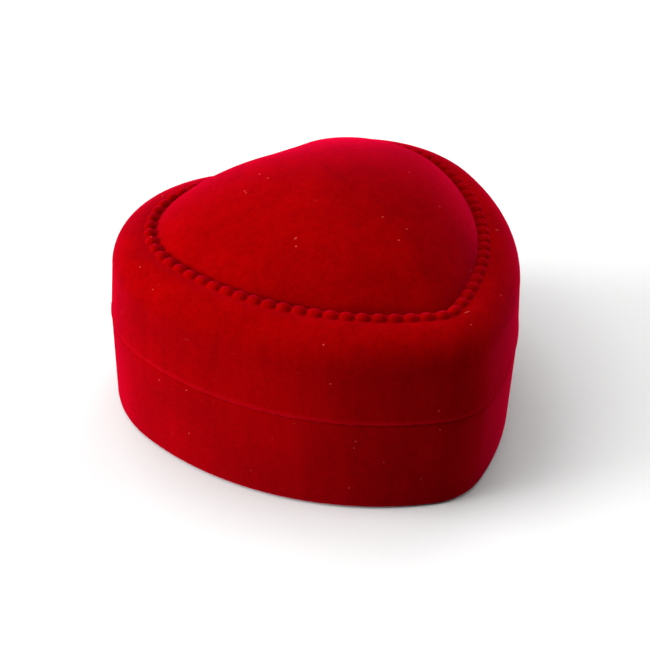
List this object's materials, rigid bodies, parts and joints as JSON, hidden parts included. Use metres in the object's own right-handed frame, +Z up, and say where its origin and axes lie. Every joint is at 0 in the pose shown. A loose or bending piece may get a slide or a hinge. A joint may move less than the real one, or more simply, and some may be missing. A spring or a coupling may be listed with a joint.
{
  "type": "heart-shaped trinket box",
  "caption": "Heart-shaped flocked gift box with a domed, beaded lid on a sprung back hinge and a slotted ring cushion inside.",
  "frame": {"origin": "on the underside, on the mirror plane, level with the centres of the heart's two lobes", "axes": "+Z up; the heart's tip points to -Y and its notch and hinge to +Y; +X runs along the hinge pin, to the right seen from the tip"},
  "size_m": [0.06, 0.0584, 0.0372],
  "materials": {
    "red_flock": "moulded plastic with short red flock",
    "red_card": "card faced with red flock paper",
    "foam": "soft white foam and wadding",
    "cushion_velvet": "short-pile dark red velvet",
    "lid_satin": "red satin, soft sheen",
    "plated_steel": "brass-plated sheet steel, satin",
    "bare_steel": "bright steel"
  },
  "bodies": {
    "base": {"base_shell": "red_flock", "collar": "red_card", "cushion_card": "red_card", "front_cushion_foam": "foam", "front_cushion_cover": "cushion_velvet", "rear_cushion_foam": "foam", "rear_cushion_cover": "cushion_velvet", "base_hinge_leaf": "plated_steel", "base_leaf_rivets": "bare_steel", "hinge_pin": "bare_steel", "snap_spring": "bare_steel"},
    "lid": {"lid_shell": "red_flock", "bead_trim": "red_flock", "lid_wadding": "foam", "lid_satin": "lid_satin", "lid_hinge_leaf": "plated_steel", "lid_leaf_rivets": "bare_steel"}
  },
  "joints": [
    {"name": "lid_hinge", "type": "hinge", "parent": "base", "child": "lid", "pos_m": [0, 0.02, 0.0147], "axis": [-1, 0, 0], "range_deg": [0, 95]}
  ]
}
